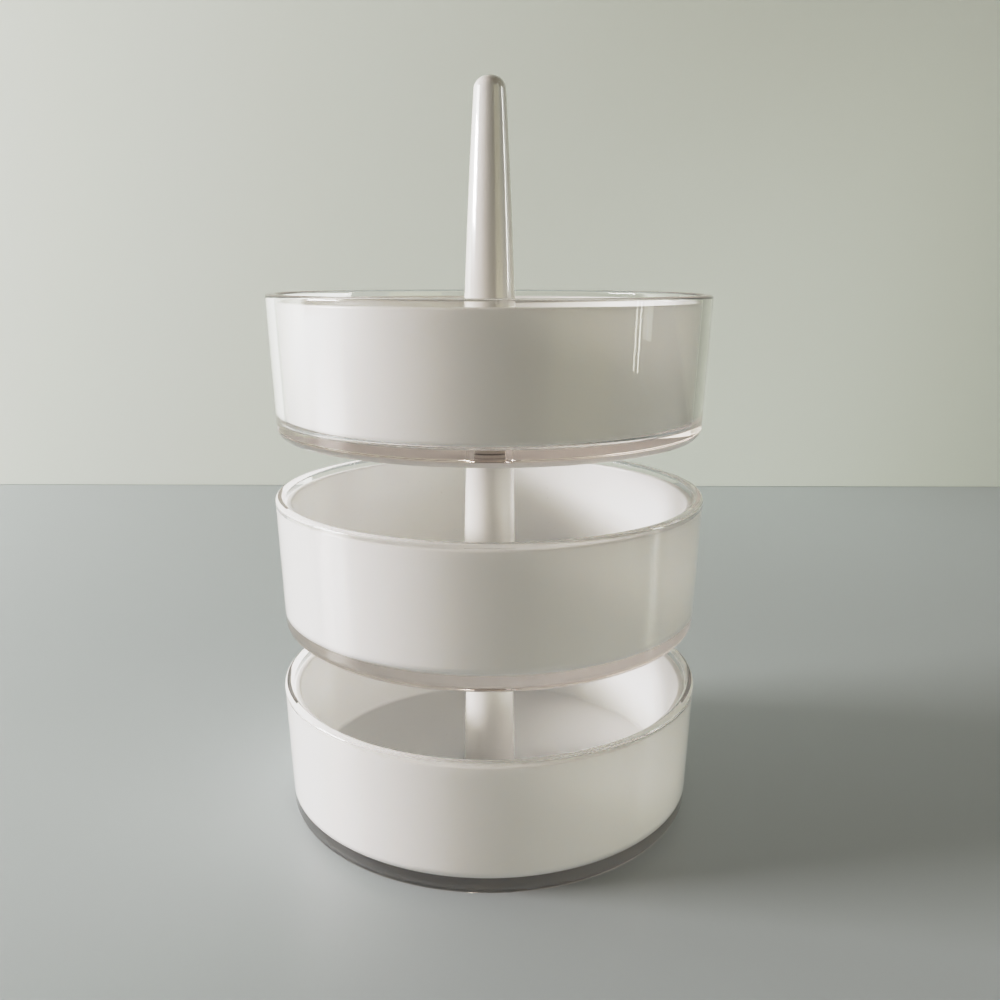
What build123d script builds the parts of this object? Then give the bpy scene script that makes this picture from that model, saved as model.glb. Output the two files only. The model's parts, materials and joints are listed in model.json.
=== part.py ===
from build123d import *

import os

os.makedirs("parts", exist_ok=True)

# A column of three round trays with a ring cone on top. A long bolt clamps the bottom bowl, the posts,
# the spindles and the cone together, and the middle and top trays turn on the spindles.
# Frame: +Z up, origin on the column's axis at the underside of the bottom tray. Sizes are millimetres.

# Column
tier_names = ["bottom", "middle", "top"]
tier_pitch = 68.0

# Clear outer bowls
tray_height = 47.0
rim_diameter = 150.0
base_diameter = 146.4
bowl_wall = 3.2
bowl_floor = 5.0
bowl_corner_round = 3.5
bowl_inner_round = 3.0
bowl_rim_round = 1.2

# White liners, each seated on the floor of its bowl
liner_wall = 2.0
liner_floor = 2.0
liner_gap = 0.3
liner_rim_drop = 2.4
liner_inner_round = 1.2
liner_rim_round = 0.7

# Tie bolt, with its washer and its pocket under the bottom bowl
bolt_diameter = 5.0
bolt_hole_clearance = 0.2
bolt_head_diameter = 9.5
bolt_head_height = 3.7
bolt_head_round = 1.4
bolt_socket_across_flats = 3.0
bolt_socket_depth = 2.2
bolt_end_chamfer = 0.6
bolt_overrun = 1.0
bolt_recess = 0.4
bolt_washer_diameter = 10.0
bolt_washer_thickness = 1.0
bolt_pocket_clearance = 0.5

# Spindle tubes, seated in shallow counterbores on both sides of each post's web
spindle_diameter = 8.0
seat_depth = 1.0
seat_clearance = 0.1
web_thickness = 2.0

# Hubs of the two turning trays
running_clearance = 0.08
end_play = 0.2
bush_wall = 1.4
bush_fit = 0.05
bush_flange_diameter = 14.5
bush_flange_thickness = 1.2
retainer_diameter = 16.0
retainer_thickness = 1.2
thrust_washer_diameter = 15.0
thrust_washer_thickness = 0.8
thrust_washer_clearance = 0.2

# Posts between the trays
foot_diameter = 19.6
foot_clearance = 0.3
foot_recess_clearance = 0.3
post_top_diameter = 16.4
post_bore_diameter = 12.4
post_edge_round = 0.4

# Hollow ring cone, with the plug and the threaded insert in its foot
cone_length = 109.0
cone_middle_diameter = 16.0
cone_tip_diameter = 10.2
cone_tip_round = 4.4
cone_bore_diameter = 13.2
cone_bore_end_diameter = 5.0
cone_bore_run_out = 3.0
cone_tip_wall = 10.0
plug_flange_thickness = 2.0
plug_fit = 0.1
insert_seat = 6.9
insert_diameter = 7.0
insert_length = 10.0
insert_thread_clearance = 0.05

# Heights within one tier, above the underside of its tray
floor_top = bowl_floor + liner_floor
foot_height = floor_top + foot_clearance
bush_top = floor_top + retainer_thickness
web_bottom = bush_top + thrust_washer_thickness + end_play
lower_seat = web_bottom + seat_depth
upper_seat = lower_seat + web_thickness
web_top = upper_seat + seat_depth
post_top = tier_pitch - end_play - thrust_washer_thickness

# Radii that mating pieces share
bolt_hole_radius = bolt_diameter / 2 + bolt_hole_clearance
spindle_radius = spindle_diameter / 2
seat_radius = spindle_radius + seat_clearance
bush_bore_radius = spindle_radius + running_clearance
bush_radius = bush_bore_radius + bush_wall
hub_hole_radius = bush_radius + bush_fit
retainer_radius = retainer_diameter / 2
recess_radius = retainer_radius + foot_recess_clearance
foot_radius = foot_diameter / 2
washer_bore_radius = spindle_radius + thrust_washer_clearance

# The tie bolt runs from its pocket to just past the insert in the cone's foot
pocket_radius = bolt_washer_diameter / 2 + bolt_pocket_clearance
under_head = bolt_recess + bolt_head_height
pocket_depth = under_head + bolt_washer_thickness
top_tier = (len(tier_names) - 1) * tier_pitch
insert_bottom = top_tier + lower_seat + insert_seat
insert_top = insert_bottom + insert_length
bolt_end = insert_top + bolt_overrun


def wall_radius(height):
    """Outer radius of a bowl at a height above its underside."""
    return (base_diameter + (rim_diameter - base_diameter) * height / tray_height) / 2


def save(piece, label):
    piece.label = label
    export_step(piece, f"parts/{label}.step")


# Clear bowls: a thick floor, a tapered wall and rounded edges. The bottom one has a boss with the bolt's
# pocket in it, and the other two have a hole for the hub bush, sunk below for its flange.
for tier, tier_name in enumerate(tier_names):
    base = tier * tier_pitch
    with BuildPart() as clear_bowl:
        with BuildSketch(Plane.XZ):
            with BuildLine():
                FilletPolyline(
                    (0, base),
                    (wall_radius(0), base),
                    (wall_radius(tray_height), base + tray_height),
                    (wall_radius(tray_height) - bowl_wall, base + tray_height),
                    (wall_radius(bowl_floor) - bowl_wall, base + bowl_floor),
                    (0, base + bowl_floor),
                    radius=[0, bowl_corner_round, bowl_rim_round, bowl_rim_round, bowl_inner_round, 0],
                    close=True,
                )
            make_face()
        revolve(axis=Axis.Z)
        if tier == 0:
            with BuildSketch(Plane.XY.offset(bowl_floor)):
                Circle(retainer_radius)
            extrude(amount=web_bottom - bowl_floor)
            with BuildSketch(Plane.XY.offset(web_bottom)):
                Circle(spindle_radius)
            extrude(amount=seat_depth)
            with BuildSketch(Plane.XY):
                Circle(pocket_radius)
            extrude(amount=pocket_depth, mode=Mode.SUBTRACT)
            with BuildSketch(Plane.XY):
                Circle(bolt_hole_radius)
            extrude(amount=lower_seat, mode=Mode.SUBTRACT)
        else:
            with BuildSketch(Plane.XY.offset(base)):
                Circle(hub_hole_radius)
            extrude(amount=bowl_floor, mode=Mode.SUBTRACT)
            with BuildSketch(Plane.XY.offset(base)):
                Circle(bush_flange_diameter / 2 + bush_fit)
            extrude(amount=bush_flange_thickness, mode=Mode.SUBTRACT)
    save(clear_bowl.part, f"clear_bowl_{tier_name}")

# White liners: thin bowls that follow the inside of the clear ones and stop short of their rims
for tier, tier_name in enumerate(tier_names):
    base = tier * tier_pitch
    rim = tray_height - liner_rim_drop
    outside = bowl_wall + liner_gap
    inside = outside + liner_wall
    liner_hole_radius = retainer_radius + bush_fit if tier == 0 else hub_hole_radius
    with BuildPart() as liner:
        with BuildSketch(Plane.XZ):
            with BuildLine():
                FilletPolyline(
                    (liner_hole_radius, base + bowl_floor),
                    (wall_radius(bowl_floor) - outside, base + bowl_floor),
                    (wall_radius(rim) - outside, base + rim),
                    (wall_radius(rim) - inside, base + rim),
                    (wall_radius(floor_top) - inside, base + floor_top),
                    (liner_hole_radius, base + floor_top),
                    radius=[0, bowl_inner_round, liner_rim_round, liner_rim_round, liner_inner_round, 0],
                    close=True,
                )
            make_face()
        revolve(axis=Axis.Z)
    save(liner.part, f"liner_{tier_name}")

# Posts: tapered tubes. The web near the foot is clamped between the spindles, the recess under it
# covers the hub below, and the open top carries a thrust washer.
for tier, post_name in enumerate(["lower", "middle"]):
    base = tier * tier_pitch
    with BuildPart() as post:
        with BuildSketch(Plane.XZ):
            with BuildLine():
                FilletPolyline(
                    (recess_radius, base + foot_height),
                    (foot_radius, base + foot_height),
                    (post_top_diameter / 2, base + post_top),
                    (post_bore_diameter / 2, base + post_top),
                    (post_bore_diameter / 2, base + web_top),
                    (seat_radius, base + web_top),
                    (seat_radius, base + upper_seat),
                    (bolt_hole_radius, base + upper_seat),
                    (bolt_hole_radius, base + lower_seat),
                    (seat_radius, base + lower_seat),
                    (seat_radius, base + web_bottom),
                    (recess_radius, base + web_bottom),
                    radius=[0, post_edge_round, post_edge_round, 0, 0, 0, 0, 0, 0, 0, 0, 0],
                    close=True,
                )
            make_face()
        revolve(axis=Axis.Z)
    save(post.part, f"post_{post_name}")

# Spindles: tubes from the web of one tier to the web of the next
for tier, spindle_name in enumerate(["lower", "middle"]):
    base = tier * tier_pitch
    with BuildPart() as spindle:
        with BuildSketch(Plane.XY.offset(base + upper_seat)):
            Circle(spindle_radius)
            Circle(bolt_hole_radius, mode=Mode.SUBTRACT)
        extrude(amount=tier_pitch + lower_seat - upper_seat)
    save(spindle.part, f"spindle_{spindle_name}")

# Hubs of the turning trays: a flanged bush from below, a retainer ring on the liner's floor, and a
# thrust washer on each side
for tier, tier_name in enumerate(tier_names):
    if tier == 0:
        continue
    base = tier * tier_pitch
    with BuildPart() as hub_bush:
        with BuildSketch(Plane.XY.offset(base)):
            Circle(bush_flange_diameter / 2)
        extrude(amount=bush_flange_thickness)
        with BuildSketch(Plane.XY.offset(base)):
            Circle(bush_radius)
        extrude(amount=bush_top)
        with BuildSketch(Plane.XY.offset(base)):
            Circle(bush_bore_radius)
        extrude(amount=bush_top, mode=Mode.SUBTRACT)
    save(hub_bush.part, f"hub_bush_{tier_name}")

    with BuildPart() as hub_retainer:
        with BuildSketch(Plane.XY.offset(base + floor_top)):
            Circle(retainer_radius)
            Circle(hub_hole_radius, mode=Mode.SUBTRACT)
        extrude(amount=retainer_thickness)
    save(hub_retainer.part, f"hub_retainer_{tier_name}")

    for side, height in [("lower", post_top - tier_pitch), ("upper", bush_top)]:
        with BuildPart() as thrust_washer:
            with BuildSketch(Plane.XY.offset(base + height)):
                Circle(thrust_washer_diameter / 2)
                Circle(washer_bore_radius, mode=Mode.SUBTRACT)
            extrude(amount=thrust_washer_thickness)
        save(thrust_washer.part, f"thrust_washer_{tier_name}_{side}")

# Ring cone: a hollow tapered shell with a slightly swelling side and a rounded tip
cone_foot = top_tier + foot_height
cone_tip = cone_foot + cone_length
plug_bottom = top_tier + web_bottom
plug_flange_top = plug_bottom + plug_flange_thickness
bore_straight_end = insert_top + cone_bore_run_out
with BuildPart() as ring_cone:
    with BuildSketch(Plane.XZ):
        with BuildLine():
            ThreePointArc(
                (foot_radius, cone_foot),
                (cone_middle_diameter / 2, cone_foot + cone_length / 2),
                (cone_tip_diameter / 2, cone_tip),
            )
            Polyline(
                (cone_tip_diameter / 2, cone_tip),
                (0, cone_tip),
                (0, cone_tip - cone_tip_wall),
                (cone_bore_end_diameter / 2, cone_tip - cone_tip_wall),
                (cone_bore_diameter / 2, bore_straight_end),
                (cone_bore_diameter / 2, plug_flange_top),
                (recess_radius, plug_flange_top),
                (recess_radius, cone_foot),
                (foot_radius, cone_foot),
            )
        make_face()
        fillet(vertices().group_by(Axis.Y)[-1].sort_by(Axis.X)[-1], radius=cone_tip_round)
        fillet(vertices().group_by(Axis.Y)[0].sort_by(Axis.X)[-1], radius=post_edge_round)
    revolve(axis=Axis.Z)
save(ring_cone.part, "ring_cone")

# Plug in the cone's foot: it sits on the top spindle and holds the threaded insert
with BuildPart() as cone_plug:
    with BuildSketch(Plane.XY.offset(plug_bottom)):
        Circle(retainer_radius)
    extrude(amount=plug_flange_thickness)
    with BuildSketch(Plane.XY.offset(plug_flange_top)):
        Circle(cone_bore_diameter / 2 - plug_fit)
    extrude(amount=insert_top - plug_flange_top)
    with BuildSketch(Plane.XY.offset(plug_bottom)):
        Circle(seat_radius)
    extrude(amount=seat_depth, mode=Mode.SUBTRACT)
    with BuildSketch(Plane.XY.offset(plug_bottom)):
        Circle(bolt_hole_radius)
    extrude(amount=insert_bottom - plug_bottom, mode=Mode.SUBTRACT)
    with BuildSketch(Plane.XY.offset(insert_bottom)):
        Circle(insert_diameter / 2)
    extrude(amount=insert_length, mode=Mode.SUBTRACT)
save(cone_plug.part, "cone_plug")

with BuildPart() as cone_insert:
    with BuildSketch(Plane.XY.offset(insert_bottom)):
        Circle(insert_diameter / 2)
        Circle(bolt_diameter / 2 + insert_thread_clearance, mode=Mode.SUBTRACT)
    extrude(amount=insert_length)
save(cone_insert.part, "cone_insert")

# Tie bolt: a pan head with a hex socket, sunk in the pocket, and a plain shank
with BuildPart() as tie_bolt:
    with BuildSketch(Plane.XZ):
        with BuildLine():
            FilletPolyline(
                (0, bolt_recess),
                (bolt_head_diameter / 2, bolt_recess),
                (bolt_head_diameter / 2, under_head),
                (bolt_diameter / 2, under_head),
                (bolt_diameter / 2, bolt_end - bolt_end_chamfer),
                (bolt_diameter / 2 - bolt_end_chamfer, bolt_end),
                (0, bolt_end),
                radius=[0, bolt_head_round, 0, 0, 0, 0, 0],
                close=True,
            )
        make_face()
    revolve(axis=Axis.Z)
    with BuildSketch(Plane.XY.offset(bolt_recess)):
        RegularPolygon(bolt_socket_across_flats / 2, 6, major_radius=False)
    extrude(amount=bolt_socket_depth, mode=Mode.SUBTRACT)
save(tie_bolt.part, "tie_bolt")

with BuildPart() as bolt_washer:
    with BuildSketch(Plane.XY.offset(under_head)):
        Circle(bolt_washer_diameter / 2)
        Circle(bolt_hole_radius, mode=Mode.SUBTRACT)
    extrude(amount=bolt_washer_thickness)
save(bolt_washer.part, "bolt_washer")

print(f"tie bolt length {bolt_end - under_head:.1f} mm, overall height {cone_tip:.1f} mm")
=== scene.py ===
import json
import math

import bpy
from mathutils import Matrix, Vector


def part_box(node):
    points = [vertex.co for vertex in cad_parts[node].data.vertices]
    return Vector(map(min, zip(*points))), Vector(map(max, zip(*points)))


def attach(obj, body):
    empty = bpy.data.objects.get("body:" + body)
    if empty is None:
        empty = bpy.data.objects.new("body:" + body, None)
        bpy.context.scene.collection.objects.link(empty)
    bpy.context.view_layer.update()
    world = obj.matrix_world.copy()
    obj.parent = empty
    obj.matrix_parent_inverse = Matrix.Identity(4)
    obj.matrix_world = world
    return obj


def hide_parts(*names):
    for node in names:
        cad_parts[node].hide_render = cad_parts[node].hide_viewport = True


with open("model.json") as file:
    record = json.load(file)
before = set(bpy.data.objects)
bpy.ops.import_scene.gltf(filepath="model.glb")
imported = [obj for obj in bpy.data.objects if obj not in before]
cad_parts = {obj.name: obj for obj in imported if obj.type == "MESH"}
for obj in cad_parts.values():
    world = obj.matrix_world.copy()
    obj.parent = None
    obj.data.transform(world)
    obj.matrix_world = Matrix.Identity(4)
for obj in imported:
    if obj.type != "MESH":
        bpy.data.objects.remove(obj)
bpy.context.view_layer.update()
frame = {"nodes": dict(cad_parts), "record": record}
mm = 0.001
lightPaths = {  # light turns many times inside a clear wall
    "max_bounces": 32, "glossy_bounces": 24, "transmission_bounces": 32, "transparent_max_bounces": 24,
}
for limitName, limit in lightPaths.items():
    setattr(bpy.context.scene.cycles, limitName, limit)
print("frame loaded:", len(frame["nodes"]), "nodes")


# small helpers

def clearSelection():
    bpy.ops.object.select_all(action="DESELECT")


def cornerCut(before, corner, after, radius):
    # how far along its two edges a corner of that rounding radius starts
    toBefore = Vector(before) - Vector(corner)
    toAfter = Vector(after) - Vector(corner)
    return radius / math.tan(toBefore.angle(toAfter) / 2)


def drawSection(name, points):
    # one vertex extruded from point to point in the XZ plane, then closed with a face
    clearSelection()
    firstX, firstZ = points[0]
    bpy.ops.mesh.primitive_plane_add(size=mm, location=(firstX * mm, 0, firstZ * mm))
    piece = bpy.context.object
    piece.name = name
    piece.data.name = name
    bpy.ops.object.transform_apply(location=True, rotation=True, scale=True)
    bpy.ops.object.mode_set(mode="EDIT")
    bpy.ops.mesh.select_all(action="SELECT")
    bpy.ops.mesh.merge(type="CENTER")
    for (x0, z0), (x1, z1) in zip(points, points[1:]):
        step = ((x1 - x0) * mm, 0, (z1 - z0) * mm)
        bpy.ops.mesh.extrude_vertices_move(TRANSFORM_OT_translate={"value": step})
    bpy.ops.mesh.select_all(action="SELECT")
    bpy.ops.mesh.edge_face_add()
    bpy.ops.object.mode_set(mode="OBJECT")
    return piece


def roundCorner(piece, points, index, radius, segments):
    x, z = points[index]
    corner = Vector((x * mm, 0, z * mm))
    cut = cornerCut(points[index - 1], points[index], points[(index + 1) % len(points)], radius)
    nearest = min(piece.data.vertices, key=lambda v: (v.co - corner).length)
    for v in piece.data.vertices:
        v.select = v == nearest
    for e in piece.data.edges:
        e.select = False
    for f in piece.data.polygons:
        f.select = False
    bpy.ops.object.mode_set(mode="EDIT")
    bpy.ops.mesh.select_mode(type="VERT")
    bpy.ops.mesh.bevel(offset=cut * mm, segments=segments, profile=0.5, affect="VERTICES")
    bpy.ops.object.mode_set(mode="OBJECT")


turning = {"sides": 384, "cornerSegments": 8, "mergeDistance": 0.002, "smoothAngle": 35}


def turnPiece(name, points, rounds, sides=turning["sides"], cornerSegments=turning["cornerSegments"]):
    # a half section, its corners rounded, spun once about the column
    piece = drawSection(name, points)
    for index, radius in rounds.items():
        roundCorner(piece, points, index, radius, cornerSegments)
    bpy.ops.object.mode_set(mode="EDIT")
    bpy.ops.mesh.select_all(action="SELECT")
    bpy.ops.mesh.delete(type="ONLY_FACE")
    bpy.ops.mesh.select_all(action="SELECT")
    bpy.ops.mesh.spin(steps=sides, angle=math.tau, center=(0, 0, 0), axis=(0, 0, 1))
    bpy.ops.mesh.select_all(action="SELECT")
    bpy.ops.mesh.remove_doubles(threshold=turning["mergeDistance"] * mm)
    bpy.ops.mesh.normals_make_consistent(inside=False)
    bpy.ops.object.mode_set(mode="OBJECT")
    bpy.ops.object.shade_smooth_by_angle(angle=math.radians(turning["smoothAngle"]))
    piece.modifiers.new("evenShading", "WEIGHTED_NORMAL")
    piece.modifiers["evenShading"].keep_sharp = True
    bpy.ops.object.modifier_apply(modifier="evenShading")
    return piece


def standFor(piece, node, body, material):
    piece.data.materials.clear()
    piece.data.materials.append(material)
    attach(piece, body)
    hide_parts(node)


# camera, floor, wall and lights

cameraView = {
    "place": (0.0037, -0.335, 0.1894), "downward": 13.3, "roll": 0.15, "lens": 34.45, "sensor": 36,
    "nearest": 0.01,
}
stageLook = {
    "floorSize": 6.0, "floorDrop": 0.0002, "floorColor": (0.465, 0.51, 0.53, 1), "floorRoughness": 0.3,
    "wallY": 0.524, "wallWidth": 6.0, "wallHeight": 3.0, "wallColor": (0.80, 0.855, 0.80, 1),
    "wallRoughness": 0.9,
    "worldColor": (1.0, 0.62, 0.42, 1), "worldStrength": 0.075,
    "backdropColor": (0.52, 0.54, 0.51, 1),
}
filmShoulder = {  # bright light is held back as in a photograph
    "start": 0.42, "top": 0.84, "white": 6.0, "points": 16, "spacing": 2.5, "tail": 1.5,
}
lampAim = (0, 0, 0.12)
openSpread = 180
allRays = ("diffuse", "glossy", "transmission")  # foundBy names the rays that find a lamp
lightRig = {
    "window": {
        "place": (-2.2, -0.08, 0.60), "size": (0.8, 0.3), "power": 56.5, "color": (1.0, 0.95, 0.97)},
    "windowTop": {
        "place": (-2.2, -0.08, 0.95), "size": (0.8, 0.4), "power": 19.5, "color": (1.0, 0.95, 0.85)},
    "roomSide": {
        "place": (1.6, -1.5, 0.7), "size": (1.4, 1.2), "power": 5.9, "color": (1.0, 0.98, 0.64)},
    "roomRight": {
        "place": (2.2, -0.3, 0.5), "size": (1.6, 0.9), "power": 1.95, "color": (0.66, 0.84, 1.0)},
    # two soft fills, one low on the right of the bottom tray and one on the foot of the wall
    "lowFill": {
        "place": (0.85, -0.55, 0.20), "aim": (0.02, -0.02, -0.04), "size": (0.20, 0.10), "spread": 24,
        "power": 0.04, "color": (0.98, 1.0, 0.96), "foundBy": ("diffuse",)},
    "wallFill": {
        "place": (0.42, 0.10, 0.50), "aim": (0.22, 0.50, 0.02), "size": (0.35, 0.35), "spread": 45,
        "power": 0.09, "color": (0.97, 1.0, 0.97), "foundBy": ("diffuse",)},
    # a doorway at the right, for gloss and for what is seen through the clear walls
    "doorStrip": {
        "place": (1.2, 0.10, 0.43), "size": (0.10, 0.42), "power": 2.0, "color": (1.0, 1.0, 0.95),
        "foundBy": ("glossy", "transmission")},
    "doorGlow": {
        "place": (1.2, 0.50, 0.39), "size": (0.50, 0.46), "power": 1.0, "color": (0.88, 0.90, 1.0),
        "foundBy": ("glossy", "transmission")},
    "lowStrip": {
        "place": (0.62, -0.172, 0.120), "size": (0.009, 0.10), "power": 0.031, "color": (1.0, 1.0, 0.88),
        "foundBy": ("glossy", "transmission")},
    "lowGlow": {
        "place": (0.62, -0.105, 0.137), "size": (0.035, 0.07), "power": 0.016, "color": (1.0, 1.0, 0.88),
        "foundBy": ("glossy", "transmission")},
    # a glow behind, only for what is seen through the clear walls
    "backGlow": {
        "place": (-0.26, 0.45, 0.20), "size": (0.34, 0.42), "power": 0.42, "color": (1.0, 1.0, 1.0),
        "foundBy": ("transmission",)},
}


def plainMaterial(name, color, roughness):
    material = bpy.data.materials.new(name)
    material.use_nodes = True
    shader = material.node_tree.nodes["Principled BSDF"]
    shader.inputs["Base Color"].default_value = color
    shader.inputs["Roughness"].default_value = roughness
    return material


def buildStage(look):
    clearSelection()
    bpy.ops.mesh.primitive_plane_add(size=look["floorSize"], location=(0, 0, -look["floorDrop"]))
    floor = bpy.context.object
    floor.name = "studioFloor"
    floor.data.materials.append(plainMaterial("floorPaper", look["floorColor"], look["floorRoughness"]))
    bpy.ops.mesh.primitive_plane_add(size=1, location=(0, look["wallY"], look["wallHeight"] / 2))
    wall = bpy.context.object
    wall.name = "studioWall"
    wall.scale = (look["wallWidth"], look["wallHeight"], 1)
    wall.rotation_euler = (math.pi / 2, 0, 0)
    wall.data.materials.append(plainMaterial("wallPaper", look["wallColor"], look["wallRoughness"]))
    world = bpy.data.worlds.new("studioAir")
    world.use_nodes = True
    tree = world.node_tree
    air = tree.nodes["Background"]
    air.inputs["Color"].default_value = look["worldColor"]
    air.inputs["Strength"].default_value = look["worldStrength"]
    # past the floor and the wall a view sees plain pale grey
    backdrop = tree.nodes.new("ShaderNodeBackground")
    backdrop.inputs["Color"].default_value = look["backdropColor"]
    path = tree.nodes.new("ShaderNodeLightPath")
    seen = tree.nodes.new("ShaderNodeMixShader")
    tree.links.new(path.outputs["Is Camera Ray"], seen.inputs["Fac"])
    tree.links.new(air.outputs["Background"], seen.inputs[1])
    tree.links.new(backdrop.outputs["Background"], seen.inputs[2])
    tree.links.new(seen.outputs["Shader"], tree.nodes["World Output"].inputs["Surface"])
    bpy.context.scene.world = world
    bpy.context.scene.view_settings.view_transform = "Standard"


def bendHighlights(shoulder):
    # straight up to start, then a soft bend towards top
    settings = bpy.context.scene.view_settings
    settings.use_curve_mapping = True
    mapping = settings.curve_mapping
    mapping.white_level = (shoulder["white"],) * 3
    curve = mapping.curves[3]  # the one for all three colours together
    start, top, white = shoulder["start"], shoulder["top"], shoulder["white"]
    curve.points[0].location = (0, 0)
    curve.points[1].location = (1, 1)
    curve.points.new(start / white, start)
    for k in range(1, shoulder["points"]):
        light = start + (white - start) * (k / shoulder["points"]) ** shoulder["spacing"]
        bend = start + (top - start) * (1 - math.exp(-(light - start) / (top - start)))
        bend += (1 - top) * (light / white) ** shoulder["tail"]
        curve.points.new(light / white, bend)
    for point in curve.points:
        point.handle_type = "VECTOR"
    mapping.update()


def buildLights(rig):
    for name, setting in rig.items():
        place = Vector(setting["place"])
        bpy.ops.object.light_add(type="AREA", location=place)
        lamp = bpy.context.object
        lamp.name = name
        aim = Vector(setting.get("aim", lampAim))
        lamp.rotation_euler = (aim - place).to_track_quat("-Z", "Y").to_euler()
        lamp.data.shape = "RECTANGLE"
        lamp.data.size, lamp.data.size_y = setting["size"]
        lamp.data.energy = setting["power"]
        lamp.data.color = setting["color"]
        lamp.data.spread = math.radians(setting.get("spread", openSpread))
        lamp.visible_camera = False
        foundBy = setting.get("foundBy", allRays)
        lamp.visible_diffuse = "diffuse" in foundBy
        lamp.visible_glossy = "glossy" in foundBy
        lamp.visible_transmission = "transmission" in foundBy


def buildCamera(view):
    bpy.ops.object.camera_add(location=view["place"])
    camera = bpy.context.object
    tilt = Matrix.Rotation(math.pi / 2 - math.radians(view["downward"]), 4, "X")
    roll = Matrix.Rotation(math.radians(view["roll"]), 4, "Z")
    camera.rotation_euler = (tilt @ roll).to_euler()
    camera.data.sensor_width = view["sensor"]
    camera.data.lens = view["lens"]
    camera.data.clip_start = view["nearest"]
    bpy.context.scene.camera = camera


buildStage(stageLook)
bendHighlights(filmShoulder)
buildLights(lightRig)
buildCamera(cameraView)
print("stage, lights and camera placed")


# node groups that the finishes share

def newGroup(name, inputs, outputs):
    group = bpy.data.node_groups.new(name, "ShaderNodeTree")
    for label, value in inputs.items():
        kind = "NodeSocketVector" if label == "Place" else "NodeSocketFloat"
        socket = group.interface.new_socket(label, in_out="INPUT", socket_type=kind)
        socket.default_value = value
    for label in outputs:
        group.interface.new_socket(label, in_out="OUTPUT", socket_type="NodeSocketFloat")
    return group, group.nodes.new("NodeGroupInput").outputs, group.nodes.new("NodeGroupOutput").inputs


def addNode(tree, kind, values=None, **settings):
    # values may hold numbers or other nodes' outputs
    node = tree.nodes.new("ShaderNode" + kind)
    for label, setting in settings.items():
        setattr(node, label, setting)
    for label, value in (values or {}).items():
        if isinstance(value, bpy.types.NodeSocket):
            tree.links.new(value, node.inputs[label])
        else:
            node.inputs[label].default_value = value
    return node


def addMath(tree, operation, first, second=0.0):
    return addNode(tree, "Math", {0: first, 1: second}, operation=operation).outputs[0]


def addRange(tree, value, low, high, newLow=0.0, newHigh=1.0):
    limits = {"Value": value, "From Min": low, "From Max": high, "To Min": newLow, "To Max": newHigh}
    return addNode(tree, "MapRange", limits).outputs["Result"]


def addNoise(tree, place, scale=1.0, detail=0.0):
    return addNode(tree, "TexNoise", {"Vector": place, "Scale": scale, "Detail": detail}).outputs["Fac"]


def stretch(tree, place, scale):
    mapping = addNode(tree, "Mapping", {"Vector": place, "Scale": scale}, vector_type="POINT")
    return mapping.outputs["Vector"]


toneRange = (0.3, 0.7)  # a noise's lowest and highest values that count, as in all the ranges below


def makeMouldSkin():
    # slow waves from the flow of the plastic and the fine orange peel of the mould
    group, given, out = newGroup("mouldSkin", {
        "Place": (0, 0, 0), "Flow Scale": 40.0, "Flow Height": 0.00001,
        "Peel Scale": 900.0, "Peel Height": 0.000001,
    }, ["Tone", "Height"])
    flow = addNoise(group, given["Place"], given["Flow Scale"], detail=2.0)
    peel = addNoise(group, given["Place"], given["Peel Scale"], detail=2.0)
    waves = addMath(group, "MULTIPLY", flow, given["Flow Height"])
    grain = addMath(group, "MULTIPLY", peel, given["Peel Height"])
    group.links.new(addRange(group, flow, *toneRange), out["Tone"])
    group.links.new(addMath(group, "ADD", waves, grain), out["Height"])
    return group


wearPattern = {
    # each direction's turn in radians and its stretch
    "hairlines": ((0.5, (900, 900, 45)), (-0.9, (60, 1100, 900))), "hairlineRange": (0.70, 0.76),
    "sideTurn": 0.7, "patchScale": 55.0, "patchRange": (0.52, 0.60),
    "smearStretch": (70, 70, 18), "smearRange": (0.45, 0.75),
    "settledScale": 130.0, "settledRange": (0.56, 0.62),
}


def makeHandlingWear():
    # hairline scratches in two directions, wiped smears and settled dust
    group, given, out = newGroup("handlingWear", {
        "Place": (0, 0, 0), "Scratch Amount": 0.5, "Dust Scale": 500.0, "Dust Size": 0.12,
    }, ["Scratches", "Smears", "Dust"])
    pattern = wearPattern
    lines = []
    for turn, scale in pattern["hairlines"]:
        angles = (turn, turn * pattern["sideTurn"], turn)
        turned = addNode(group, "Mapping", {"Vector": given["Place"], "Rotation": angles})
        noise = addNoise(group, stretch(group, turned.outputs["Vector"], scale), detail=1.0)
        lines.append(addRange(group, noise, *pattern["hairlineRange"]))
    where = addRange(group, addNoise(group, given["Place"], pattern["patchScale"]), *pattern["patchRange"])
    both = addMath(group, "MULTIPLY", addMath(group, "MAXIMUM", lines[0], lines[1]), where)
    group.links.new(addMath(group, "MULTIPLY", both, given["Scratch Amount"]), out["Scratches"])
    smear = addNoise(group, stretch(group, given["Place"], pattern["smearStretch"]), detail=3.0)
    group.links.new(addRange(group, smear, *pattern["smearRange"]), out["Smears"])
    cells = addNode(group, "TexVoronoi", {"Vector": given["Place"], "Scale": given["Dust Scale"]})
    lying = addNoise(group, given["Place"], pattern["settledScale"], detail=1.0)
    settled = addRange(group, lying, *pattern["settledRange"])
    grains = addMath(group, "LESS_THAN", cells.outputs["Distance"], given["Dust Size"])
    group.links.new(addMath(group, "MULTIPLY", grains, settled), out["Dust"])
    return group


lineClimb = 14  # how fast a line changes up the wall


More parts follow.
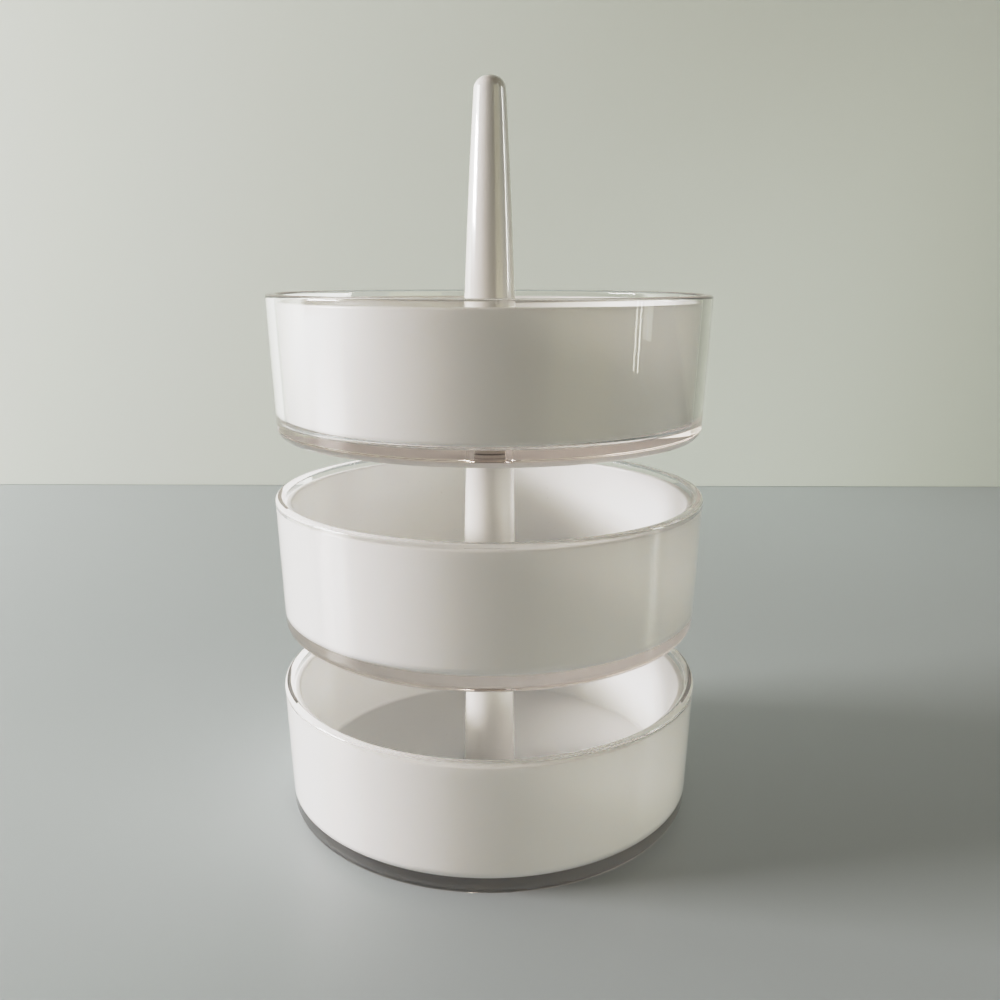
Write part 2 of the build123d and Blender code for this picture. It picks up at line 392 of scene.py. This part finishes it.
def makeDrawLines():
    # faint lines up the wall, left by polishing the mould in the direction of draw
    group, given, out = newGroup("drawLines", {
        "Place": (0, 0, 0), "Line Scale": 120.0, "Line Height": 0.000001,
    }, ["Height"])
    flat = addNode(group, "VectorMath", {0: given["Place"], 1: (1, 1, 0)}, operation="MULTIPLY")
    around = addNode(group, "VectorMath", {0: flat.outputs[0]}, operation="NORMALIZE")
    spread = addNode(
        group, "VectorMath", {0: around.outputs[0], "Scale": given["Line Scale"]}, operation="SCALE")
    upward = stretch(group, given["Place"], (0, 0, lineClimb))
    along = addNode(group, "VectorMath", {0: spread.outputs[0], 1: upward}, operation="ADD")
    noise = addNoise(group, along.outputs[0], detail=2.0)
    group.links.new(addMath(group, "MULTIPLY", noise, given["Line Height"]), out["Height"])
    return group


ringWander = 260.0  # the scale on which a ring strays from its circle


def makeTurnedRings():
    # tool marks round the column's axis
    group, given, out = newGroup("turnedRings", {
        "Place": (0, 0, 0), "Ring Pitch": 0.0002, "Ring Height": 0.000002,
    }, ["Rings", "Height"])
    flat = addNode(group, "VectorMath", {0: given["Place"], 1: (1, 1, 0)}, operation="MULTIPLY")
    radius = addNode(group, "VectorMath", {0: flat.outputs[0]}, operation="LENGTH").outputs["Value"]
    wander = addNoise(group, given["Place"], ringWander, detail=1.0)
    turns = addMath(group, "DIVIDE", radius, given["Ring Pitch"])
    phase = addMath(group, "MULTIPLY", addMath(group, "ADD", turns, wander), math.tau)
    wave = addRange(group, addMath(group, "SINE", phase), -1.0, 1.0)
    group.links.new(wave, out["Rings"])
    group.links.new(addMath(group, "MULTIPLY", wave, given["Ring Height"]), out["Height"])
    return group


rubPattern = {"scale": 420.0, "range": (0.4, 0.6)}


def makeFootRub():
    # the rubbed ring on which the organizer stands
    group, given, out = newGroup("footRub", {"Place": (0, 0, 0), "Rub Height": 0.0003}, ["Rub"])
    height = addNode(group, "SeparateXYZ", {"Vector": given["Place"]}).outputs["Z"]
    near = addRange(group, height, 0.0, given["Rub Height"], 1.0, 0.0)
    noise = addNoise(group, given["Place"], rubPattern["scale"], detail=3.0)
    patches = addRange(group, noise, *rubPattern["range"])
    group.links.new(addMath(group, "MULTIPLY", near, patches), out["Rub"])
    return group


mouldSkin = makeMouldSkin()
handlingWear = makeHandlingWear()
drawLines = makeDrawLines()
turnedRings = makeTurnedRings()
footRub = makeFootRub()
print("node groups made")


# finishes

def startMaterial(name, color, roughness):
    material = bpy.data.materials.new(name)
    material.use_nodes = True
    tree = material.node_tree
    shader = tree.nodes["Principled BSDF"]
    shader.inputs["Base Color"].default_value = color
    shader.inputs["Roughness"].default_value = roughness
    place = addNode(tree, "TexCoord").outputs["Object"]
    return material, tree, shader, place


def addGroup(tree, group, place, **values):
    node = tree.nodes.new("ShaderNodeGroup")
    node.node_tree = group
    tree.links.new(place, node.inputs["Place"])
    for label, value in values.items():
        node.inputs[label.replace("_", " ")].default_value = value
    return node.outputs


def addHeights(tree, shader, *heights):
    total = heights[0]
    for height in heights[1:]:
        total = addMath(tree, "ADD", total, height)
    bump = addNode(tree, "Bump", {"Height": total, "Distance": 1.0})
    tree.links.new(bump.outputs["Normal"], shader.inputs["Normal"])


def letLampsThrough(material, shader, clearColor):
    # lamp and diffuse rays pass the clear wall unbent, so that the white pieces behind it are evenly lit
    tree = material.node_tree
    surfaceOut = tree.nodes["Material Output"]
    path = tree.nodes.new("ShaderNodeLightPath")
    straight = tree.nodes.new("ShaderNodeBsdfTransparent")
    straight.inputs["Color"].default_value = clearColor
    inner = tree.nodes.new("ShaderNodeMixShader")
    outer = tree.nodes.new("ShaderNodeMixShader")
    tree.links.new(path.outputs["Is Diffuse Ray"], inner.inputs["Fac"])
    tree.links.new(shader.outputs["BSDF"], inner.inputs[1])
    tree.links.new(straight.outputs["BSDF"], inner.inputs[2])
    tree.links.new(path.outputs["Is Shadow Ray"], outer.inputs["Fac"])
    tree.links.new(inner.outputs["Shader"], outer.inputs[1])
    tree.links.new(straight.outputs["BSDF"], outer.inputs[2])
    tree.links.new(outer.outputs["Shader"], surfaceOut.inputs["Surface"])


def addMix(tree, amount, first, second):
    return addNode(tree, "Mix", {0: amount, 6: first, 7: second}, data_type="RGBA").outputs[2]


def addWear(tree, polish, marks, amount):
    # marks are rougher than the polish round them
    return addMath(tree, "ADD", polish, addMath(tree, "MULTIPLY", marks, amount))


clearLook = {  # evenHaze is the plain value behind the nodes, as evenRoughness is below
    "color": (0.985, 0.985, 0.975, 1), "ior": 1.52, "evenHaze": 0.02, "haze": (0.012, 0.030),
    "scratches": 0.6, "scratchHaze": 0.10, "rubHeight": 0.00006, "rubHaze": 0.15,
    "flow": 26.0, "waves": 0.000008, "peelScale": 420.0, "peel": 0.00000004,
    "lineScale": 70.0, "lineHeight": 0.00000015,
    "absorption": (0.80, 0.50, 0.36, 1), "density": 3.5, "lampTint": (0.975, 0.97, 0.965, 1),
}


def makeClearPlastic(look):
    low, high = look["haze"]
    material, tree, shader, place = startMaterial("clearPlastic", look["color"], look["evenHaze"])
    shader.inputs["Transmission Weight"].default_value = 1.0
    shader.inputs["IOR"].default_value = look["ior"]
    skin = addGroup(tree, mouldSkin, place, Flow_Scale=look["flow"], Flow_Height=look["waves"],
                    Peel_Scale=look["peelScale"], Peel_Height=look["peel"])
    lines = addGroup(tree, drawLines, place, Line_Scale=look["lineScale"], Line_Height=look["lineHeight"])
    wear = addGroup(tree, handlingWear, place, Scratch_Amount=look["scratches"])
    rub = addGroup(tree, footRub, place, Rub_Height=look["rubHeight"])
    haze = addRange(tree, wear["Smears"], 0, 1, low, high)
    haze = addWear(tree, haze, wear["Scratches"], look["scratchHaze"])
    haze = addWear(tree, haze, rub["Rub"], look["rubHaze"])
    tree.links.new(haze, shader.inputs["Roughness"])
    addHeights(tree, shader, skin["Height"], lines["Height"])
    tint = addNode(tree, "VolumeAbsorption", {"Color": look["absorption"], "Density": look["density"]})
    tree.links.new(tint.outputs["Volume"], tree.nodes["Material Output"].inputs["Volume"])
    letLampsThrough(material, shader, look["lampTint"])
    return material


whiteSkin = {  # what all the white plastics share
    "ior": 1.5, "coatRoughness": 0.03, "scatter": (1.0, 0.97, 0.93), "peelScale": 1100.0,
    "dustScale": 520.0, "dustColor": (0.46, 0.42, 0.36, 1), "dustStrength": 0.55,
    "scratchRoughness": 0.22, "scratchDepth": -0.000004,
}
linerLook = {
    "light": (0.95, 0.94, 0.92, 1), "shade": (0.94, 0.93, 0.91, 1), "roughness": (0.28, 0.31),
    "gloss": 0.5, "coat": 0.0, "glow": 1.0, "depth": 3.2 * mm, "flow": 22.0, "waves": 0.00003,
    "peel": 0.0000005, "scratches": 0.7, "dust": 0.08,
}
bondedLook = dict(linerLook, gloss=0.0, scratches=0.0, dust=0.0)  # touching the clear bowl it has no gloss
columnLook = {
    "light": (0.87, 0.86, 0.845, 1), "shade": (0.85, 0.84, 0.82, 1), "roughness": (0.10, 0.17),
    "gloss": 0.5, "coat": 1.0, "glow": 0.0, "depth": 0.3 * mm, "flow": 45.0, "waves": 0.000012,
    "peel": 0.0000008, "scratches": 1.0, "dust": 0.07,
}


def makeWhitePlastic(name, look):
    low, high = look["roughness"]
    material, tree, shader, place = startMaterial(name, look["light"], low)
    shader.inputs["IOR"].default_value = whiteSkin["ior"]
    shader.inputs["Specular IOR Level"].default_value = look["gloss"]
    shader.inputs["Coat Weight"].default_value = look["coat"]
    shader.inputs["Coat Roughness"].default_value = whiteSkin["coatRoughness"]
    shader.inputs["Subsurface Weight"].default_value = look["glow"]
    shader.inputs["Subsurface Radius"].default_value = whiteSkin["scatter"]
    shader.inputs["Subsurface Scale"].default_value = look["depth"]
    skin = addGroup(tree, mouldSkin, place, Flow_Scale=look["flow"], Flow_Height=look["waves"],
                    Peel_Scale=whiteSkin["peelScale"], Peel_Height=look["peel"])
    wear = addGroup(tree, handlingWear, place, Scratch_Amount=look["scratches"],
                    Dust_Scale=whiteSkin["dustScale"], Dust_Size=look["dust"])
    cloud = addMix(tree, skin["Tone"], look["light"], look["shade"])
    dust = addMath(tree, "MULTIPLY", wear["Dust"], whiteSkin["dustStrength"])
    tree.links.new(addMix(tree, dust, cloud, whiteSkin["dustColor"]), shader.inputs["Base Color"])
    polish = addRange(tree, wear["Smears"], 0, 1, low, high)
    polish = addWear(tree, polish, wear["Scratches"], whiteSkin["scratchRoughness"])
    tree.links.new(polish, shader.inputs["Roughness"])
    cut = addMath(tree, "MULTIPLY", wear["Scratches"], whiteSkin["scratchDepth"])
    addHeights(tree, shader, skin["Height"], cut)
    return material


bearingLook = {
    "light": (0.92, 0.84, 0.77, 1), "shade": (0.87, 0.78, 0.70, 1),
    "evenRoughness": 0.42, "roughness": (0.36, 0.50),
    # the colour, heights and width of the dark rings painted as shade at each bush's barrel ends
    "endShade": (0.06, 0.035, 0.025, 1), "endShadeLevels": (2.8 * mm, 4.25 * mm), "endShadeWidth": 0.36 * mm,
    "trayPitch": 68.0 * mm, "flow": 180.0, "waves": 0.000012, "peelScale": 2600.0, "peel": 0.000003,
    "ringPitch": 0.00025, "ringHeight": 0.0000015, "ringRoughness": 0.05,
    "scratches": 0.8, "scratchRoughness": 0.15,
}


def makeBearingPlastic(look):
    low, high = look["roughness"]
    material, tree, shader, place = startMaterial("bearingPlastic", look["light"], look["evenRoughness"])
    skin = addGroup(tree, mouldSkin, place, Flow_Scale=look["flow"], Flow_Height=look["waves"],
                    Peel_Scale=look["peelScale"], Peel_Height=look["peel"])
    rings = addGroup(tree, turnedRings, place, Ring_Pitch=look["ringPitch"], Ring_Height=look["ringHeight"])
    wear = addGroup(tree, handlingWear, place, Scratch_Amount=look["scratches"])
    cloud = addMix(tree, skin["Tone"], look["light"], look["shade"])
    # two thin dark rings on each bush where its barrel ends, painted shade, at the same height in either
    # tray
    height = addNode(tree, "SeparateXYZ", {"Vector": place}).outputs["Z"]
    level = addMath(tree, "MODULO", height, look["trayPitch"])
    lower, upper = [
        addMath(tree, "ABSOLUTE", addMath(tree, "SUBTRACT", level, ring)) for ring in look["endShadeLevels"]]
    nearest = addMath(tree, "MINIMUM", lower, upper)
    endShade = addRange(tree, nearest, look["endShadeWidth"] / 2, look["endShadeWidth"], 1.0, 0.0)
    tree.links.new(addMix(tree, endShade, cloud, look["endShade"]), shader.inputs["Base Color"])
    polish = addRange(tree, skin["Tone"], 0, 1, low, high)
    polish = addWear(tree, polish, rings["Rings"], look["ringRoughness"])
    polish = addWear(tree, polish, wear["Scratches"], look["scratchRoughness"])
    tree.links.new(polish, shader.inputs["Roughness"])
    addHeights(tree, shader, skin["Height"], rings["Height"])
    return material


metalSkin = {  # what all the metals share
    "waves": 0.000002, "peelScale": 5200.0, "scratches": 1.0,
    "ringRoughness": 0.06, "scratchRoughness": 0.15, "bareRange": (0.5, 0.75), "polishRange": (0.3, 0.7),
}
tubeLook = {  # drawn aluminium
    "light": (0.80, 0.80, 0.81, 1), "shade": (0.70, 0.71, 0.73, 1), "bare": (0.86, 0.86, 0.86, 1),
    "roughness": (0.22, 0.40), "cloudScale": 160.0, "grain": 0.0000008,
    "ringPitch": 0.00018, "ringHeight": 0.000001, "streaks": (1500, 1500, 25),
}
zincLook = {  # bright zinc on steel
    "light": (0.60, 0.62, 0.65, 1), "shade": (0.66, 0.63, 0.55, 1), "bare": (0.70, 0.70, 0.70, 1),
    "roughness": (0.24, 0.42), "cloudScale": 300.0, "grain": 0.0000012,
    "ringPitch": 0.00022, "ringHeight": 0.0000016, "streaks": (420, 420, 260),
}
brassLook = {
    "light": (0.78, 0.60, 0.30, 1), "shade": (0.62, 0.44, 0.20, 1), "bare": (0.86, 0.70, 0.40, 1),
    "roughness": (0.22, 0.38), "cloudScale": 420.0, "grain": 0.000001,
    "ringPitch": 0.00020, "ringHeight": 0.000002, "streaks": (900, 900, 300),
}


def makeMetal(name, look):
    low, high = look["roughness"]
    material, tree, shader, place = startMaterial(name, look["light"], low)
    shader.inputs["Metallic"].default_value = 1.0
    skin = addGroup(tree, mouldSkin, place, Flow_Scale=look["cloudScale"], Flow_Height=metalSkin["waves"],
                    Peel_Scale=metalSkin["peelScale"], Peel_Height=look["grain"])
    rings = addGroup(tree, turnedRings, place, Ring_Pitch=look["ringPitch"], Ring_Height=look["ringHeight"])
    wear = addGroup(tree, handlingWear, place, Scratch_Amount=metalSkin["scratches"])
    streaks = addNoise(tree, stretch(tree, place, look["streaks"]), detail=3.0)
    cloud = addMix(tree, skin["Tone"], look["light"], look["shade"])
    worn = addMix(tree, addRange(tree, streaks, *metalSkin["bareRange"]), cloud, look["bare"])
    tree.links.new(worn, shader.inputs["Base Color"])
    polish = addRange(tree, streaks, *metalSkin["polishRange"], low, high)
    polish = addWear(tree, polish, rings["Rings"], metalSkin["ringRoughness"])
    polish = addWear(tree, polish, wear["Scratches"], metalSkin["scratchRoughness"])
    tree.links.new(polish, shader.inputs["Roughness"])
    addHeights(tree, shader, skin["Height"], rings["Height"])
    return material


clearPlastic = makeClearPlastic(clearLook)
whitePlastic = makeWhitePlastic("whitePlastic", linerLook)
bondedWhite = makeWhitePlastic("bondedWhitePlastic", bondedLook)
solidWhite = makeWhitePlastic("solidWhitePlastic", columnLook)
bearingPlastic = makeBearingPlastic(bearingLook)
spindleTube = makeMetal("spindleTube", tubeLook)
zincSteel = makeMetal("zincSteel", zincLook)
brassInsert = makeMetal("brassInsert", brassLook)
slotFinish = {
    "clear_plastic": clearPlastic, "white_plastic": whitePlastic, "bearing_plastic": bearingPlastic,
    "spindle_tube": spindleTube, "steel_fastener": zincSteel, "brass_insert": brassInsert,
}
for part in frame["record"]["subparts"]:
    node = frame["nodes"][part["node"]]
    node.data.materials.clear()
    node.data.materials.append(slotFinish[part["material_slot"]])
print("finishes made")


# clear bowls and white liners

bowlShape = {
    "rimRadius": 75.0, "baseRadius": 73.2, "height": 47.0, "wall": 3.2, "floor": 5.0,
    "footRound": 3.5, "rimRound": 1.2, "innerRound": 3.0,
    "hubHole": 5.53, "flangeHole": 7.3, "flangeDepth": 1.2,
    "bossRadius": 8.0, "bossTop": 9.2, "stubRadius": 4.0, "stubTop": 10.2,
    "boltHole": 2.7, "pocketRadius": 5.5, "pocketTop": 5.1,
}
linerShape = {
    # two liners reach a little way into the clear wall, and the top one keeps the CAD's gap
    "wallGap": 0.3, "wallLap": {"bottom": 0.02, "middle": 0.02, "top": -0.3}, "floorLap": 0.02,
    "wall": 2.0, "floorTop": 7.0, "rimDrop": 2.4,
    "outerRound": 3.0, "innerRound": 1.2, "rimRound": 0.7, "hubHole": 5.53, "bossHole": 8.05,
    "outwardLimit": 0.2, "downwardLimit": -0.5,  # how far a face has to turn to be bonded
}


def wallRadius(height):
    shape = bowlShape
    return shape["baseRadius"] + (shape["rimRadius"] - shape["baseRadius"]) * height / shape["height"]


def nodeHeights(node):
    # its foot and its top in millimetres
    low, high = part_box(node)
    return low[2] / mm, high[2] / mm


def liftPoints(points, height):
    return [(x, z + height) for x, z in points]


def buildBowl(node, body):
    shape = bowlShape
    base = nodeHeights(node)[0]
    wallPoints = [
        (wallRadius(0), 0),
        (shape["rimRadius"], shape["height"]),
        (shape["rimRadius"] - shape["wall"], shape["height"]),
        (wallRadius(shape["floor"]) - shape["wall"], shape["floor"]),
    ]
    if body == "column":
        points = [(shape["pocketRadius"], 0)] + wallPoints + [
            (shape["bossRadius"], shape["floor"]), (shape["bossRadius"], shape["bossTop"]),
            (shape["stubRadius"], shape["bossTop"]), (shape["stubRadius"], shape["stubTop"]),
            (shape["boltHole"], shape["stubTop"]), (shape["boltHole"], shape["pocketTop"]),
            (shape["pocketRadius"], shape["pocketTop"]),
        ]
    else:
        points = [(shape["flangeHole"], 0)] + wallPoints + [
            (shape["hubHole"], shape["floor"]), (shape["hubHole"], shape["flangeDepth"]),
            (shape["flangeHole"], shape["flangeDepth"]),
        ]
    rounds = {1: shape["footRound"], 2: shape["rimRound"], 3: shape["rimRound"], 4: shape["innerRound"]}
    piece = turnPiece(node + "_shell", liftPoints(points, base), rounds)
    standFor(piece, node, body, clearPlastic)


def buildLiner(node, body):
    shape = linerShape
    bowlFloor = bowlShape["floor"]
    outside = bowlShape["wall"] - shape["wallLap"][node.split("_")[1]]
    inside = bowlShape["wall"] + shape["wallGap"] + shape["wall"]
    rim = bowlShape["height"] - shape["rimDrop"]
    hole = shape["bossHole"] if body == "column" else shape["hubHole"]
    bottom = bowlFloor - shape["floorLap"]
    points = [
        (hole, bottom),
        (wallRadius(bowlFloor) - outside, bottom),
        (wallRadius(rim) - outside, rim),
        (wallRadius(rim) - inside, rim),
        (wallRadius(shape["floorTop"]) - inside, shape["floorTop"]),
        (hole, shape["floorTop"]),
    ]
    rounds = {1: shape["outerRound"], 2: shape["rimRound"], 3: shape["rimRound"], 4: shape["innerRound"]}
    base = nodeHeights(node.replace("liner", "clear_bowl"))[0]
    piece = turnPiece(node + "_shell", liftPoints(points, base), rounds)
    standFor(piece, node, body, whitePlastic)
    # the faces that touch the clear bowl have no gloss of their own
    piece.data.materials.append(bondedWhite)
    for face in piece.data.polygons:
        outward = face.normal.x * face.center.x + face.normal.y * face.center.y
        wallSide = outward > shape["outwardLimit"] * face.center.to_2d().length
        floorSide = face.normal.z < shape["downwardLimit"]
        if (wallSide and body != "top_tray") or floorSide:
            face.material_index = 1


trayBodies = {"bottom": "column", "middle": "middle_tray", "top": "top_tray"}
for trayName, bodyName in trayBodies.items():
    buildBowl("clear_bowl_" + trayName, bodyName)
    buildLiner("liner_" + trayName, bodyName)
print("bowls and liners turned")


# posts and ring cone

postShape = {
    "footRadius": 9.8, "topRadius": 8.2, "boreRadius": 6.2, "edgeRound": 0.4,
    "recessRadius": 8.3, "recessDepth": 1.9, "seatRadius": 4.1, "seatDepth": 1.0, "webThickness": 2.0,
    "boltHole": 2.7, "sides": 128, "cornerSegments": 4,
}
coneShape = {
    "footRadius": 9.8, "middleRadius": 8.0, "tipRadius": 5.1, "tipRound": 4.4, "edgeRound": 0.4,
    "recessRadius": 8.3, "recessDepth": 3.9, "boreRadius": 6.6, "boreStraight": 22.8,
    "boreEndRadius": 2.5, "tipWall": 10.0, "tipLead": 1.5, "sideSteps": 24, "sides": 128,
    "cornerSegments": 14,
}


def buildPost(node):
    shape = postShape
    foot, top = nodeHeights(node)
    web = foot + shape["recessDepth"]
    lowerSeat = web + shape["seatDepth"]
    upperSeat = lowerSeat + shape["webThickness"]
    webTop = upperSeat + shape["seatDepth"]
    points = [
        (shape["recessRadius"], foot), (shape["footRadius"], foot),
        (shape["topRadius"], top), (shape["boreRadius"], top),
        (shape["boreRadius"], webTop), (shape["seatRadius"], webTop),
        (shape["seatRadius"], upperSeat), (shape["boltHole"], upperSeat),
        (shape["boltHole"], lowerSeat), (shape["seatRadius"], lowerSeat),
        (shape["seatRadius"], web), (shape["recessRadius"], web),
    ]
    rounds = {1: shape["edgeRound"], 2: shape["edgeRound"]}
    piece = turnPiece(node + "_sleeve", points, rounds, shape["sides"], shape["cornerSegments"])
    standFor(piece, node, "column", solidWhite)


def arcThrough(start, middle, end, steps):
    # points on the circle through three points, from start to end
    ax, ay = start
    bx, by = middle
    cx, cy = end
    d = 2 * (ax * (by - cy) + bx * (cy - ay) + cx * (ay - by))
    a2, b2, c2 = ax * ax + ay * ay, bx * bx + by * by, cx * cx + cy * cy
    ux = (a2 * (by - cy) + b2 * (cy - ay) + c2 * (ay - by)) / d
    uy = (a2 * (cx - bx) + b2 * (ax - cx) + c2 * (bx - ax)) / d
    radius = math.hypot(ax - ux, ay - uy)
    first = math.atan2(ay - uy, ax - ux)
    last = math.atan2(cy - uy, cx - ux)
    angles = [first + (last - first) * k / steps for k in range(steps + 1)]
    return [(ux + radius * math.cos(t), uy + radius * math.sin(t)) for t in angles]


def buildCone(node):
    shape = coneShape
    foot, tip = nodeHeights(node)
    side = arcThrough(
        (shape["footRadius"], foot), (shape["middleRadius"], (foot + tip) / 2),
        (shape["tipRadius"], tip), shape["sideSteps"])
    # the last stretch of the side is left out, so that the tip's rounding has a straight edge to start on
    sideShort = [p for p in side if p[1] < tip - shape["tipRound"] * shape["tipLead"]] + [side[-1]]
    points = [(shape["recessRadius"], foot)] + sideShort + [
        (0, tip), (0, tip - shape["tipWall"]), (shape["boreEndRadius"], tip - shape["tipWall"]),
        (shape["boreRadius"], foot + shape["boreStraight"]),
        (shape["boreRadius"], foot + shape["recessDepth"]),
        (shape["recessRadius"], foot + shape["recessDepth"]),
    ]
    tipIndex = len(sideShort)
    rounds = {1: shape["edgeRound"], tipIndex: shape["tipRound"]}
    piece = turnPiece(node + "_shell", points, rounds, shape["sides"], shape["cornerSegments"])
    standFor(piece, node, "column", solidWhite)


buildPost("post_lower")
buildPost("post_middle")
buildCone("ring_cone")
print("posts and ring cone turned")
